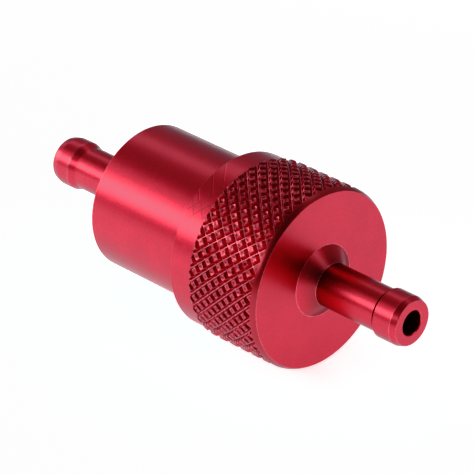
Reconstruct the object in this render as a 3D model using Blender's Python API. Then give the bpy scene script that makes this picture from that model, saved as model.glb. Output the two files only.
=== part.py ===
"""Inline fuel filter with a screwed, knurled cap and a washable screen element.

The filter lies along X.
The inlet nipple points to -X and the outlet nipple to +X.
The origin is on the axis, half way between the two nipple ends.
Every object is one separate piece, named as it would be on the bench.
"""

import math

import bmesh
import bpy

MM = 0.001

# Overall sizes, in millimetres.
HALF_LENGTH = 38.0
BODY_END_X = -19.5
CAP_REAR_X = 1.0
CAP_FACE_X = 19.5

# Hose nipple, the same at both ends. Lengths run back from its tip.
BORE_R = 2.0
BORE_BREAK = 0.15
TIP_R = 3.68
TIP_CHAMFER = 1.07
COLLAR_R = 4.04
COLLAR_BACK = 4.43
COLLAR_SLOPE = 0.5
NECK_R = 3.55
CONE_R = 5.9
CONE_HEIGHT = 1.95

# Body.
BODY_R = 12.0
BODY_BREAK = 0.25
BODY_COLUMNS = 48
CHAMBER_R = 8.9
CHAMBER_FLOOR_X = -16.5
SPRING_POCKET_R = 4.6
SPRING_POCKET_DEPTH = 1.0
SEAL_GROOVE_X = (2.6, 5.0)
SEAL_GROOVE_R = 9.95
SHOULDER_X = 6.0
BODY_MOUTH_X = 15.9
EDGE = 0.3

# Screw thread between body and cap.
THREAD_PITCH = 1.5
THREAD_START_X = 6.5
BODY_THREAD_TURNS = 5
CAP_THREAD_TURNS = 4
THREAD_ROOT_R = 10.45
THREAD_CREST_R = 11.4
THREAD_CLEARANCE = 0.3
ROOT_FLAT = 0.25
CREST_FLAT = 0.125
THREAD_FADE_TURNS = 0.5

# Cap.
BAND_R = 14.5
CAP_BREAK = 0.2
SKIRT_R = 12.35
SKIRT_END_X = 6.3
SKIRT_MOUTH = 0.4
CAP_FLOOR_X = 16.5
SEAT_R = 4.4
SEAT_DEPTH = 0.9
CAP_COLUMNS = 80
NIPPLE_COLUMNS = 40
FACE_R = 14.45
CHAMFER_X = 18.95
CHAMFER_R = 14.78

# Diamond knurl on the cap.
KNURL_X = (5.4, 18.36)
KNURL_AROUND = 40
KNURL_HALF_ROWS = 11
KNURL_CREST_R = 15.0
KNURL_ROOT_R = 14.3
KNURL_FLAT = 0.5
KNURL_RUN_IN = 0.15

# Body seal.
SEAL_WIRE_R = 0.9
SEAL_CENTRE_R = 11.15

# Element spring.
SPRING_WIRE_R = 0.4
SPRING_MEAN_R = 3.6
SPRING_X = (-17.2, -9.3)
SPRING_ACTIVE_TURNS = 5
SPRING_DEAD_TURNS = 1
SPRING_STEPS = 14
SPRING_SECTION = 8

# Screen element.
ELEMENT_COLUMNS = 36
CORE_X = (-7.5, 13.2)
CORE_INNER_R = 4.6
CORE_OUTER_R = 5.2
CORE_HOLE_R = 1.0
CORE_HOLE_ROWS = 5
CORE_HOLES_AROUND = 6
CORE_FIRST_ROW_X = -4.2
CORE_ROW_STEP = 3.5
SCREEN_INNER_R = 5.5
SCREEN_OUTER_R = 5.8
BAND_INNER_R = 6.1
BAND_OUTER_R = 6.5
BAND_WIDTH = 2.0
BAND_INSET = 0.3
SPIGOT_R = 4.3
END_DISC_X = (-9.0, -7.8)
END_DISC_R = 6.6
END_PILOT_R = 2.7
END_PILOT_LENGTH = 1.4
FLANGE_X = (13.5, 15.0)
FLANGE_R = 7.5
NOSE_R = 4.0
NOSE_END_X = 17.1
FLANGE_BORE_R = 2.8
SPIGOT_LENGTH = 1.5
GASKET_X = (15.3, 16.2)
GASKET_R = (4.3, 7.0)


def clear_scene():
    for obj in list(bpy.data.objects):
        bpy.data.objects.remove(obj, do_unlink=True)
    for mesh in list(bpy.data.meshes):
        bpy.data.meshes.remove(mesh)


def on_ring(x, radius, angle):
    """A point at this angle about X, measured from +Y towards +Z."""
    return (x * MM, radius * math.cos(angle) * MM, radius * math.sin(angle) * MM)


def add_ring(bm, x, radius, columns):
    step = 2 * math.pi / columns
    return [bm.verts.new(on_ring(x, radius, i * step)) for i in range(columns)]


def angle_of(vert):
    return math.atan2(vert.co.z, vert.co.y) % (2 * math.pi)


def join_rings(bm, a, b):
    """Skins two closed rings. Their counts may differ: it goes round both by angle."""
    if len(a) == len(b):
        for i in range(len(a)):
            k = (i + 1) % len(a)
            bm.faces.new((a[i], a[k], b[k], b[i]))
        return
    full = 2 * math.pi
    turns_a = [angle_of(v) for v in a] + [full + angle_of(a[0])]
    turns_b = [angle_of(v) for v in b] + [full + angle_of(b[0])]
    i = 0
    j = 0
    while i < len(a) or j < len(b):
        take_a = j == len(b) or (i < len(a) and turns_a[i + 1] <= turns_b[j + 1] + 1e-9)
        if take_a:
            bm.faces.new((a[i % len(a)], a[(i + 1) % len(a)], b[j % len(b)]))
            i += 1
        else:
            bm.faces.new((a[i % len(a)], b[(j + 1) % len(b)], b[j % len(b)]))
            j += 1


def add_turned(bm, points, columns):
    """Skins a run of (x, radius) points and returns its first and last rings."""
    rings = [add_ring(bm, x, r, columns) for x, r in points]
    for a, b in zip(rings, rings[1:]):
        join_rings(bm, a, b)
    return rings[0], rings[-1]


def close_ring(bm, ring, x):
    """Closes a ring with a fan to a point on the axis."""
    centre = bm.verts.new((x * MM, 0, 0))
    for i, vert in enumerate(ring):
        bm.faces.new((vert, ring[(i + 1) % len(ring)], centre))


def add_thread(bm, low, high, start_x, turns, base_r, ridge_r, base_flat, ridge_flat):
    """Skins a right-hand thread between two rings of one size.

    Each turn is a flat, a flank, the ridge and a flank.
    The ridge grows out of the wall at one end and dies away into it at the other.
    """
    columns = len(low)
    flank = (1 - base_flat - ridge_flat) / 2
    stations = (0, base_flat, base_flat + flank, base_flat + flank + ridge_flat, 1)
    heights = (0, 0, 1, 1, 0)
    last = columns * turns
    fade = columns * THREAD_FADE_TURNS
    grid = []
    for k in range(last + 1):
        grown = min(1, k / fade, (last - k) / fade)
        angle = 2 * math.pi * k / columns
        row = []
        for station, height in zip(stations, heights):
            if station == 0 and k >= columns:
                row.append(grid[k - columns][-1])
                continue
            x = start_x + THREAD_PITCH * (k / columns + station)
            radius = base_r + (ridge_r - base_r) * height * grown
            row.append(bm.verts.new(on_ring(x, radius, angle)))
        grid.append(row)
    for a, b in zip(grid, grid[1:]):
        for j in range(len(stations) - 1):
            bm.faces.new((a[j], b[j], b[j + 1], a[j + 1]))
    # The first and last turns meet the plain wall along a helix.
    for i in range(columns - 1):
        bm.faces.new((low[i], low[i + 1], grid[i + 1][0], grid[i][0]))
    chain = [low[0]] + grid[0] + [grid[columns - 1][0]]
    for a, b in zip(chain, chain[1:]):
        bm.faces.new((low[-1], a, b))
    first = last - columns
    for i in range(1, columns):
        k = (i + 1) % columns
        bm.faces.new((grid[first + i][-1], grid[first + i + 1][-1], high[k], high[i]))
    chain = [high[0]] + grid[last][::-1] + [grid[first + 1][-1]]
    for a, b in zip(chain, chain[1:]):
        bm.faces.new((high[1], a, b))


def finish_object(name, bm, smooth_angle=35):
    """Turns the bmesh into an object with its faces outward and its round faces smooth."""
    bmesh.ops.recalc_face_normals(bm, faces=bm.faces)
    bmesh.ops.triangulate(bm, faces=[f for f in bm.faces if len(f.verts) > 4])
    for face in bm.faces:
        face.smooth = True
    for edge in bm.edges:
        if len(edge.link_faces) == 2:
            edge.smooth = edge.calc_face_angle() < math.radians(smooth_angle)
    mesh = bpy.data.meshes.new(name)
    bm.to_mesh(mesh)
    bm.free()
    obj = bpy.data.objects.new(name, mesh)
    bpy.context.scene.collection.objects.link(obj)
    return obj


def make_material(name, colour, metallic, roughness):
    material = bpy.data.materials.new(name)
    material.use_nodes = True
    shader = material.node_tree.nodes["Principled BSDF"]
    shader.inputs["Base Color"].default_value = (*colour, 1)
    shader.inputs["Metallic"].default_value = metallic
    shader.inputs["Roughness"].default_value = roughness
    material.diffuse_color = (*colour, 1)
    return material


def add_axis(name, parent=None):
    """An empty on the filter's axis. A moving group hangs from one."""
    empty = bpy.data.objects.new(name, None)
    empty.empty_display_type = "ARROWS"
    empty.empty_display_size = 0.01
    empty.parent = parent
    bpy.context.scene.collection.objects.link(empty)
    return empty


def nipple_points(face_x, side):
    """A nipple's outside from the foot of its cone to its tip. side is +1 or -1."""
    tip = HALF_LENGTH * side
    return [
        (face_x, CONE_R),
        (face_x + side * CONE_HEIGHT, NECK_R),
        (tip - side * (COLLAR_BACK + COLLAR_SLOPE), NECK_R),
        (tip - side * COLLAR_BACK, COLLAR_R),
        (tip - side * TIP_CHAMFER, COLLAR_R),
        (tip, TIP_R),
        (tip, BORE_R + BORE_BREAK),
        (tip - side * BORE_BREAK, BORE_R),
    ]


def make_inlet_body():
    """Nipple, barrel, seal groove and threaded mouth, turned from one bar."""
    bm = bmesh.new()
    groove_low, groove_high = SEAL_GROOVE_X
    thread_end = THREAD_START_X + THREAD_PITCH * (BODY_THREAD_TURNS + 1)
    outside = nipple_points(BODY_END_X, -1)[::-1]
    outside += [
        (BODY_END_X, BODY_R - BODY_BREAK),
        (BODY_END_X + BODY_BREAK, BODY_R),
        (groove_low, BODY_R),
        (groove_low, SEAL_GROOVE_R),
        (groove_high, SEAL_GROOVE_R),
        (groove_high, BODY_R),
        (SHOULDER_X - CAP_BREAK, BODY_R),
        (SHOULDER_X, BODY_R - CAP_BREAK),
        (SHOULDER_X, THREAD_ROOT_R),
        (THREAD_START_X - 0.15, THREAD_ROOT_R),
    ]
    inside = [
        (thread_end + 0.1, THREAD_ROOT_R),
        (BODY_MOUTH_X, THREAD_ROOT_R - EDGE),
        (BODY_MOUTH_X, CHAMBER_R + EDGE),
        (BODY_MOUTH_X - EDGE, CHAMBER_R),
        (CHAMBER_FLOOR_X, CHAMBER_R),
        (CHAMBER_FLOOR_X, SPRING_POCKET_R),
        (CHAMBER_FLOOR_X - SPRING_POCKET_DEPTH, SPRING_POCKET_R),
        (CHAMBER_FLOOR_X - SPRING_POCKET_DEPTH, BORE_R),
    ]
    first, low = add_turned(bm, outside, BODY_COLUMNS)
    high, last = add_turned(bm, inside, BODY_COLUMNS)
    add_thread(
        bm,
        low,
        high,
        THREAD_START_X,
        BODY_THREAD_TURNS,
        THREAD_ROOT_R,
        THREAD_CREST_R,
        ROOT_FLAT,
        CREST_FLAT,
    )
    join_rings(bm, last, first)
    return finish_object("inlet_body", bm)


def add_knurl(bm):
    """Raised diamonds between crossing grooves at 45 degrees. Returns the two end outlines."""
    around = 2 * math.pi / KNURL_AROUND
    row_step = (KNURL_X[1] - KNURL_X[0]) / KNURL_HALF_ROWS
    corners = []
    for row in range(KNURL_HALF_ROWS + 1):
        x = KNURL_X[0] + row * row_step
        shift = 0.5 * (row % 2)
        corners.append(
            [
                bm.verts.new(on_ring(x, KNURL_ROOT_R, (i + shift) * around))
                for i in range(KNURL_AROUND)
            ]
        )
    outlines = []
    for row in range(KNURL_HALF_ROWS + 1):
        x = KNURL_X[0] + row * row_step
        odd = row % 2
        first_row = row == 0
        last_row = row == KNURL_HALF_ROWS
        outline = []
        for i in range(KNURL_AROUND):
            centre = (i + 0.5 * (1 - odd)) * around
            # Left and right corners lie on this row, the other two on the rows beside it.
            left = corners[row][i - odd]
            right = corners[row][(i + 1 - odd) % KNURL_AROUND]
            reach = KNURL_FLAT * around / 2
            top_left = bm.verts.new(on_ring(x, KNURL_CREST_R, centre - reach))
            top_right = bm.verts.new(on_ring(x, KNURL_CREST_R, centre + reach))
            top = [top_left]
            if not first_row:
                low = corners[row - 1][i]
                top_low = bm.verts.new(
                    on_ring(x - KNURL_FLAT * row_step, KNURL_CREST_R, centre)
                )
                top.append(top_low)
                bm.faces.new((left, low, top_low, top_left))
                bm.faces.new((low, right, top_right, top_low))
            top.append(top_right)
            if not last_row:
                high = corners[row + 1][i]
                top_high = bm.verts.new(
                    on_ring(x + KNURL_FLAT * row_step, KNURL_CREST_R, centre)
                )
                top.append(top_high)
                bm.faces.new((right, high, top_high, top_right))
                bm.faces.new((high, left, top_left, top_high))
            bm.faces.new(top)
            outline += [left, top_left, top_right]
        if first_row or last_row:
            outline.sort(key=angle_of)
            outlines.append(outline)
    return outlines


def make_outlet_cap():
    """Knurled cap with its nipple, element seat, thread and skirt, turned from one bar."""
    bm = bmesh.new()
    thread_x = THREAD_START_X + THREAD_PITCH * (ROOT_FLAT + (1 - ROOT_FLAT - CREST_FLAT) / 2)
    base_r = THREAD_CREST_R + THREAD_CLEARANCE
    ridge_r = THREAD_ROOT_R + THREAD_CLEARANCE
    thread_end = thread_x + THREAD_PITCH * (CAP_THREAD_TURNS + 1)
    rear = [
        (CAP_REAR_X, BAND_R - CAP_BREAK),
        (CAP_REAR_X + CAP_BREAK, BAND_R),
        (KNURL_X[0] - KNURL_RUN_IN, BAND_R),
    ]
    rear_ring, band_ring = add_turned(bm, rear, CAP_COLUMNS)
    knurl_low, knurl_high = add_knurl(bm)
    join_rings(bm, band_ring, knurl_low)
    front = [(CHAMFER_X, CHAMFER_R), (CAP_FACE_X, FACE_R)]
    chamfer_ring, face_ring = add_turned(bm, front, CAP_COLUMNS)
    join_rings(bm, knurl_high, chamfer_ring)
    nipple = nipple_points(CAP_FACE_X, 1)
    nipple += [
        (CAP_FLOOR_X + SEAT_DEPTH, BORE_R),
        (CAP_FLOOR_X + SEAT_DEPTH, SEAT_R),
        (CAP_FLOOR_X, SEAT_R),
    ]
    cone_ring, seat_ring = add_turned(bm, nipple, NIPPLE_COLUMNS)
    join_rings(bm, face_ring, cone_ring)
    floor = [(CAP_FLOOR_X, base_r), (thread_end + 0.25, base_r)]
    floor_ring, high = add_turned(bm, floor, BODY_COLUMNS)
    join_rings(bm, seat_ring, floor_ring)
    skirt = [
        (thread_x - 0.5, base_r),
        (SKIRT_END_X, base_r + EDGE),
        (SKIRT_END_X, SKIRT_R),
        (CAP_REAR_X + SKIRT_MOUTH, SKIRT_R),
        (CAP_REAR_X, SKIRT_R + SKIRT_MOUTH),
    ]
    low, mouth_ring = add_turned(bm, skirt, BODY_COLUMNS)
    add_thread(
        bm,
        low,
        high,
        thread_x,
        CAP_THREAD_TURNS,
        base_r,
        ridge_r,
        CREST_FLAT,
        ROOT_FLAT,
    )
    join_rings(bm, mouth_ring, rear_ring)
    return finish_object("outlet_cap", bm, smooth_angle=30)


def make_o_ring():
    """Round rubber ring in the body's groove."""
    x = sum(SEAL_GROOVE_X) / 2
    bpy.ops.mesh.primitive_torus_add(
        major_segments=40,
        minor_segments=8,
        major_radius=SEAL_CENTRE_R * MM,
        minor_radius=SEAL_WIRE_R * MM,
    )
    obj = bpy.context.object
    obj.name = "body_o_ring"
    obj.location = (x * MM, 0, 0)
    obj.rotation_euler = (0, math.radians(90), 0)
    for face in obj.data.polygons:
        face.use_smooth = True
    return obj


def make_spring():
    """Round-wire compression spring with a closed turn at each end."""
    bm = bmesh.new()
    closed = 2.2 * SPRING_WIRE_R
    low = SPRING_X[0] + SPRING_WIRE_R
    high = SPRING_X[1] - SPRING_WIRE_R
    active = high - low - 2 * SPRING_DEAD_TURNS * closed
    turns = SPRING_ACTIVE_TURNS + 2 * SPRING_DEAD_TURNS
    rings = []
    for k in range(turns * SPRING_STEPS + 1):
        turn = k / SPRING_STEPS
        dead_low = min(turn, SPRING_DEAD_TURNS)
        dead_high = max(0, turn - SPRING_DEAD_TURNS - SPRING_ACTIVE_TURNS)
        live = turn - dead_low - dead_high
        x = low + closed * (dead_low + dead_high) + active * live / SPRING_ACTIVE_TURNS
        angle = 2 * math.pi * turn
        ring = []
        for j in range(SPRING_SECTION):
            around = 2 * math.pi * j / SPRING_SECTION
            radius = SPRING_MEAN_R + SPRING_WIRE_R * math.cos(around)
            ring.append(
                bm.verts.new(on_ring(x + SPRING_WIRE_R * math.sin(around), radius, angle))
            )
        rings.append(ring)
    for a, b in zip(rings, rings[1:]):
        join_rings_by_index(bm, a, b)
    bm.faces.new(rings[0])
    bm.faces.new(rings[-1])
    return finish_object("element_spring", bm, smooth_angle=60)


def join_rings_by_index(bm, a, b):
    for i in range(len(a)):
        k = (i + 1) % len(a)
        bm.faces.new((a[i], a[k], b[k], b[i]))


def make_turned_ring(name, points):
    """A turned ring: its section is the closed outline of these points."""
    bm = bmesh.new()
    first, last = add_turned(bm, points, ELEMENT_COLUMNS)
    join_rings(bm, last, first)
    return finish_object(name, bm)


def make_end_disc():
    """Closed end of the element, with a pilot that centres the spring."""
    bm = bmesh.new()
    back, front = END_DISC_X
    points = [
        (back - END_PILOT_LENGTH, END_PILOT_R - EDGE),
        (back - END_PILOT_LENGTH + EDGE, END_PILOT_R),
        (back, END_PILOT_R),
        (back, END_DISC_R - EDGE),
        (back + EDGE, END_DISC_R),
        (front, END_DISC_R),
        (front, SPIGOT_R),
        (front + SPIGOT_LENGTH, SPIGOT_R),
    ]
    first, last = add_turned(bm, points, ELEMENT_COLUMNS)
    close_ring(bm, first, points[0][0])
    close_ring(bm, last, points[-1][0])
    return finish_object("element_end_disc", bm)


def make_core():
    """Tube that holds the screen up, drilled with staggered rows of holes."""
    core = make_turned_ring(
        "element_core",
        [
            (CORE_X[0], CORE_OUTER_R),
            (CORE_X[1], CORE_OUTER_R),
            (CORE_X[1], CORE_INNER_R),
            (CORE_X[0], CORE_INNER_R),
        ],
    )
    bm = bmesh.new()
    for row in range(CORE_HOLE_ROWS):
        x = CORE_FIRST_ROW_X + row * CORE_ROW_STEP
        for i in range(CORE_HOLES_AROUND):
            angle = 2 * math.pi * (i + 0.5 * (row % 2)) / CORE_HOLES_AROUND
            ends = []
            for radius in (CORE_INNER_R - 0.6, CORE_OUTER_R + 0.6):
                ring = []
                for j in range(12):
                    turn = 2 * math.pi * j / 12
                    side = CORE_HOLE_R * math.cos(turn)
                    y = radius * math.cos(angle) - side * math.sin(angle)
                    z = radius * math.sin(angle) + side * math.cos(angle)
                    along = x + CORE_HOLE_R * math.sin(turn)
                    ring.append(bm.verts.new((along * MM, y * MM, z * MM)))
                ends.append(ring)
            join_rings_by_index(bm, ends[0], ends[1])
            bm.faces.new(ends[0])
            bm.faces.new(ends[1])
    cutter = finish_object("core_drill", bm)
    cutter.hide_render = True
    cutter.display_type = "WIRE"
    drill = core.modifiers.new("holes", "BOOLEAN")
    drill.operation = "DIFFERENCE"
    drill.solver = "EXACT"
    drill.object = cutter
    return core


def make_screen():
    """Sleeve of woven wire round the core."""
    return make_turned_ring(
        "element_screen",
        [
            (CORE_X[0], SCREEN_OUTER_R),
            (CORE_X[1], SCREEN_OUTER_R),
            (CORE_X[1], SCREEN_INNER_R),
            (CORE_X[0], SCREEN_INNER_R),
        ],
    )


def make_screen_band(name, low):
    """Rolled band that clamps one end of the screen."""
    high = low + BAND_WIDTH
    edge = (BAND_OUTER_R - BAND_INNER_R) / 3
    return make_turned_ring(
        name,
        [
            (low, BAND_OUTER_R - edge),
            (low + edge, BAND_OUTER_R),
            (high - edge, BAND_OUTER_R),
            (high, BAND_OUTER_R - edge),
            (high, BAND_INNER_R),
            (low, BAND_INNER_R),
        ],
    )


def make_collar():
    """Open end of the element: spigot, flange and the nose that enters the cap's seat."""
    back, front = FLANGE_X
    return make_turned_ring(
        "element_collar",
        [
            (back - SPIGOT_LENGTH, SPIGOT_R),
            (back, SPIGOT_R),
            (back, FLANGE_R - EDGE),
            (back + EDGE, FLANGE_R),
            (front - EDGE, FLANGE_R),
            (front, FLANGE_R - EDGE),
            (front, NOSE_R),
            (NOSE_END_X - EDGE, NOSE_R),
            (NOSE_END_X, NOSE_R - EDGE),
            (NOSE_END_X, FLANGE_BORE_R),
            (back - SPIGOT_LENGTH, FLANGE_BORE_R),
        ],
    )


def make_gasket():
    """Flat ring between the element's flange and the cap's floor."""
    inner, outer = GASKET_R
    return make_turned_ring(
        "element_gasket",
        [
            (GASKET_X[0], outer),
            (GASKET_X[1], outer),
            (GASKET_X[1], inner),
            (GASKET_X[0], inner),
        ],
    )


def main():
    clear_scene()
    red = make_material("red_anodised_aluminium", (0.45, 0.012, 0.035), 1.0, 0.32)
    rubber = make_material("black_rubber", (0.02, 0.02, 0.02), 0.0, 0.6)
    steel = make_material("spring_steel", (0.6, 0.6, 0.58), 1.0, 0.25)
    brass = make_material("brass", (0.75, 0.52, 0.2), 1.0, 0.3)
    wire = make_material("screen_wire", (0.62, 0.6, 0.55), 1.0, 0.35)
    # The element slides along the body with the cap, and the cap also turns on it.
    body = add_axis("body_axis")
    element = add_axis("element_axis", body)
    cap = add_axis("cap_axis", element)
    outlet_band_x = CORE_X[1] - BAND_INSET - BAND_WIDTH
    finished = [
        (make_inlet_body(), red, body),
        (make_o_ring(), rubber, body),
        (make_spring(), steel, body),
        (make_end_disc(), brass, element),
        (make_core(), brass, element),
        (make_screen(), wire, element),
        (make_screen_band("screen_band_inlet", CORE_X[0] + BAND_INSET), brass, element),
        (make_screen_band("screen_band_outlet", outlet_band_x), brass, element),
        (make_collar(), brass, element),
        (make_gasket(), rubber, element),
        (make_outlet_cap(), red, cap),
    ]
    for obj, material, parent in finished:
        obj.data.materials.append(material)
        obj.parent = parent


main()
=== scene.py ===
# %% [markdown]
# # An inline fuel filter in red anodised aluminium
#
# The filter is a turned metal capsule with a hose nipple at each end.
# Its knurled cap unscrews, and a washable screen element comes out with it.
# This lesson builds every piece as a mesh, gives each its own finish, and lights it on a pale table.
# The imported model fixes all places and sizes, so the first step is to load it.

import math
import random

import bmesh
import bpy
import numpy as np
from mathutils import Matrix, Vector


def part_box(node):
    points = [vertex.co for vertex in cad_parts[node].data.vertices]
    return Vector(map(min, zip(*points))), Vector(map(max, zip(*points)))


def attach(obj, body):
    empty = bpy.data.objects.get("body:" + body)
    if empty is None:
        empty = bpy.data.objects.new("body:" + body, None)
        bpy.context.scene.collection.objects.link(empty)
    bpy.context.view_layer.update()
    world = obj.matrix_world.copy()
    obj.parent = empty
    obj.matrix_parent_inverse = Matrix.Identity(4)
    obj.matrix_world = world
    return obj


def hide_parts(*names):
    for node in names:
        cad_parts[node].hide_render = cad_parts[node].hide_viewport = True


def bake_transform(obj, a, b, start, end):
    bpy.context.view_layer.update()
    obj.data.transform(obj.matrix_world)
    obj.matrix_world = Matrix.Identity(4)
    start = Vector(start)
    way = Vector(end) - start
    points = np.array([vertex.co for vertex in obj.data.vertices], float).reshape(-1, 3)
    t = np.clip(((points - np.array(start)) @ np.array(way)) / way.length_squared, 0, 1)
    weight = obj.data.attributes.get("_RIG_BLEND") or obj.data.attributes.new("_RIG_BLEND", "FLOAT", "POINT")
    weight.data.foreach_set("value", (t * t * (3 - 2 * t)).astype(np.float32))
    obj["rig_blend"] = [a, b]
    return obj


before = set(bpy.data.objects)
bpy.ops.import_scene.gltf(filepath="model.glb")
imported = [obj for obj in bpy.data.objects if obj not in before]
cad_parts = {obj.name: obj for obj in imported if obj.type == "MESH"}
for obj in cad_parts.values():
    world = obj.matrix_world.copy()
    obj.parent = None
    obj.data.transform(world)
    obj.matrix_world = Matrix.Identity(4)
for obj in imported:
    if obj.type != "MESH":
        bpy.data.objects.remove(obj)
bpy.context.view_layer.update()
MM = 0.001
print("nodes:", len(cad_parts))

# %% [markdown]
# ## Places and sizes
#
# The filter lies along X, with its outlet towards +X.
# A round piece needs three numbers: where it starts, where it ends and how far out it reaches.
# All three come from the box of its CAD node, so the looks can never drift away from the model.


# %% Measure the CAD pieces
def span(node):
    """Start, end and outer radius of a round CAD piece, in millimetres."""
    low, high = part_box(node)
    return low.x / MM, high.x / MM, high.y / MM


INLET_TIP, BODY_MOUTH, BODY_R = span("inlet_body")
CAP_REAR, OUTLET_TIP, CREST_R = span("outlet_cap")
BODY_END = -19.5
CAP_FACE = 19.5
BAND_R = 14.5
BORE_R = 2.0
for name in sorted(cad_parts):
    print(name, [round(n, 2) for n in span(name)])

# %% [markdown]
# ## Turning on a lathe, in code
#
# Nearly every piece here comes off a lathe, so the mesh is made the same way.
# An outline of (x, radius) points is swept round the X axis as a row of rings.
# A real turned corner is never razor sharp: the tool or a file leaves a small round.
# That round matters to the eye, because it is what catches a thin bright line of light.
# So each outline corner can carry a fillet, and the rounded points are marked as worn, which the finish
# makes paler.
# A few corners get a much stronger mark, which paints a highlight line on them.


# %% Round the corners of an outline
def rounded(corners, steps=4, support=0.03):
    """Turns (x, r, fillet, corner_wear_and_highlight) corners, in millimetres, into (x, r,
    wear_and_highlight) points.

    Fillet and mark may be left out. A negative fillet marks a hollow corner, which is unmarked unless a mark
    is given.
    A small mark stands for wear and makes the corner paler; a large one paints a highlight line there.
    """
    chain = []
    for i, corner in enumerate(corners):
        here = np.array(corner[:2], float)
        fillet = corner[2] if len(corner) > 2 else 0
        corner_wear_and_highlight = corner[3] if len(corner) > 3 else float(fillet > 0)
        if not fillet or i in (0, len(corners) - 1):
            chain.append((*here, 0.0))
            continue
        back = np.array(corners[i - 1][:2]) - here
        ahead = np.array(corners[i + 1][:2]) - here
        room = 0.45 * min(np.linalg.norm(back), np.linalg.norm(ahead))
        back /= np.linalg.norm(back)
        ahead /= np.linalg.norm(ahead)
        half = math.acos(max(-1, min(1, back @ ahead))) / 2
        reach = min(abs(fillet) / math.tan(half), room)
        radius = reach * math.tan(half)
        middle = back + ahead
        centre = here + middle / np.linalg.norm(middle) * radius / math.sin(half)
        start = here + back * reach - centre
        end = here + ahead * reach - centre
        sweep = math.acos(max(-1, min(1, start @ end / radius**2)))
        chain.append((*(centre + start + back * support), 0.0))
        for k in range(steps + 1):
            t = k / steps
            arm = math.sin((1 - t) * sweep) * start + math.sin(t * sweep) * end
            chain.append((*(centre + arm / math.sin(sweep)), corner_wear_and_highlight))
        chain.append((*(centre + end + ahead * support), 0.0))
    return chain


print("a 0.2 mm fillet on a square corner:", len(rounded([(0, 1), (1, 1, 0.2), (1, 0)])), "points")


# %% Rings, skins and finished objects
def on_ring(x, radius, angle):
    return (x * MM, radius * math.cos(angle) * MM, radius * math.sin(angle) * MM)


def new_mesh():
    bm = bmesh.new()
    return bm, bm.verts.layers.float.new("wear_and_highlight")


def add_ring(bm, x, radius, angles, wear_and_highlight=0.0):
    layer = bm.verts.layers.float["wear_and_highlight"]
    ring = []
    for angle in angles:
        vert = bm.verts.new(on_ring(x, radius, angle))
        vert[layer] = wear_and_highlight
        ring.append(vert)
    return ring


def round_angles(columns):
    return [2 * math.pi * i / columns for i in range(columns)]


# Outside faces are turned fine, because their highlights show every flat. Bores can be coarser.
FINE = round_angles(160)
COARSE = round_angles(96)


def angle_of(vert):
    return math.atan2(vert.co.z, vert.co.y) % (2 * math.pi)


def from_lowest(ring):
    """The same ring, starting at its lowest angle."""
    start = min(range(len(ring)), key=lambda i: angle_of(ring[i]))
    return ring[start:] + ring[:start]


def join_rings(bm, a, b):
    """Skins two closed rings. Where their counts differ, it goes round both by angle."""
    if len(a) == len(b):
        for i in range(len(a)):
            k = (i + 1) % len(a)
            bm.faces.new((a[i], a[k], b[k], b[i]))
        return
    a = from_lowest(a)
    b = from_lowest(b)
    turns_a = [angle_of(v) for v in a] + [2 * math.pi + angle_of(a[0])]
    turns_b = [angle_of(v) for v in b] + [2 * math.pi + angle_of(b[0])]
    i = j = 0
    while i < len(a) or j < len(b):
        if j == len(b) or (i < len(a) and turns_a[i + 1] <= turns_b[j + 1] + 1e-9):
            bm.faces.new((a[i % len(a)], a[(i + 1) % len(a)], b[j % len(b)]))
            i += 1
        else:
            bm.faces.new((a[i % len(a)], b[(j + 1) % len(b)], b[j % len(b)]))
            j += 1


def add_turned(bm, chain, angles):
    """Sweeps a chain of (x, r, worn) points and returns its first and last rings."""
    rings = [add_ring(bm, x, r, angles, wear_and_highlight) for x, r, wear_and_highlight in chain]
    for a, b in zip(rings, rings[1:]):
        join_rings(bm, a, b)
    return rings[0], rings[-1]


def finish_mesh(name, bm, sharp=38):
    """The mesh as an object, faces outward, smooth apart from edges steeper than this angle."""
    bmesh.ops.recalc_face_normals(bm, faces=bm.faces)
    mesh = bpy.data.meshes.new(name)
    bm.to_mesh(mesh)
    bm.free()
    mesh.shade_smooth()
    mesh.set_sharp_from_angle(angle=math.radians(sharp))
    obj = bpy.data.objects.new(name, mesh)
    bpy.context.scene.collection.objects.link(obj)
    print(f"{name}: {len(mesh.vertices)} points, {len(mesh.polygons)} faces")
    return obj


def turned_ring(name, corners, columns=128):
    """A closed outline swept right round, such as a washer or a sleeve."""
    bm, _ = new_mesh()
    chain = rounded(corners + [corners[0]])[:-1]
    first, last = add_turned(bm, chain, round_angles(columns))
    join_rings(bm, last, first)
    return finish_mesh(name, bm)


# %% [markdown]
# ## The hose nipple
#
# Both ends carry the same nipple.
# A cone rises from the flat face, a plain neck takes the hose, and a raised collar stops it slipping off.
# The outlet's collar has a square back and a bevelled tip, so a hose goes on easily and grips when pulled.
# The inlet's has been polished to a soft bulb, which needs only larger fillets on the same kind of outline.
# A bright highlight line runs where the tool stops, at the foot of the cone and of the neck.
# Those two hollow corners get a strong wear mark, so the finish paints that highlight line in paler.


# %% The nipple's outline
CONE_FOOT_R = 5.9
CONE_LENGTH = 1.95
NECK_R = 3.55
COLLAR_R = 4.04
COLLAR_LENGTH = 4.5
RELIEF_R = 3.36
# Painted highlight: a strong wear mark that paints bright lines in the hollow corners at the cone's foot and
# neck's foot.
PAINTED_HIGHLIGHT = 1.7


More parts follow.
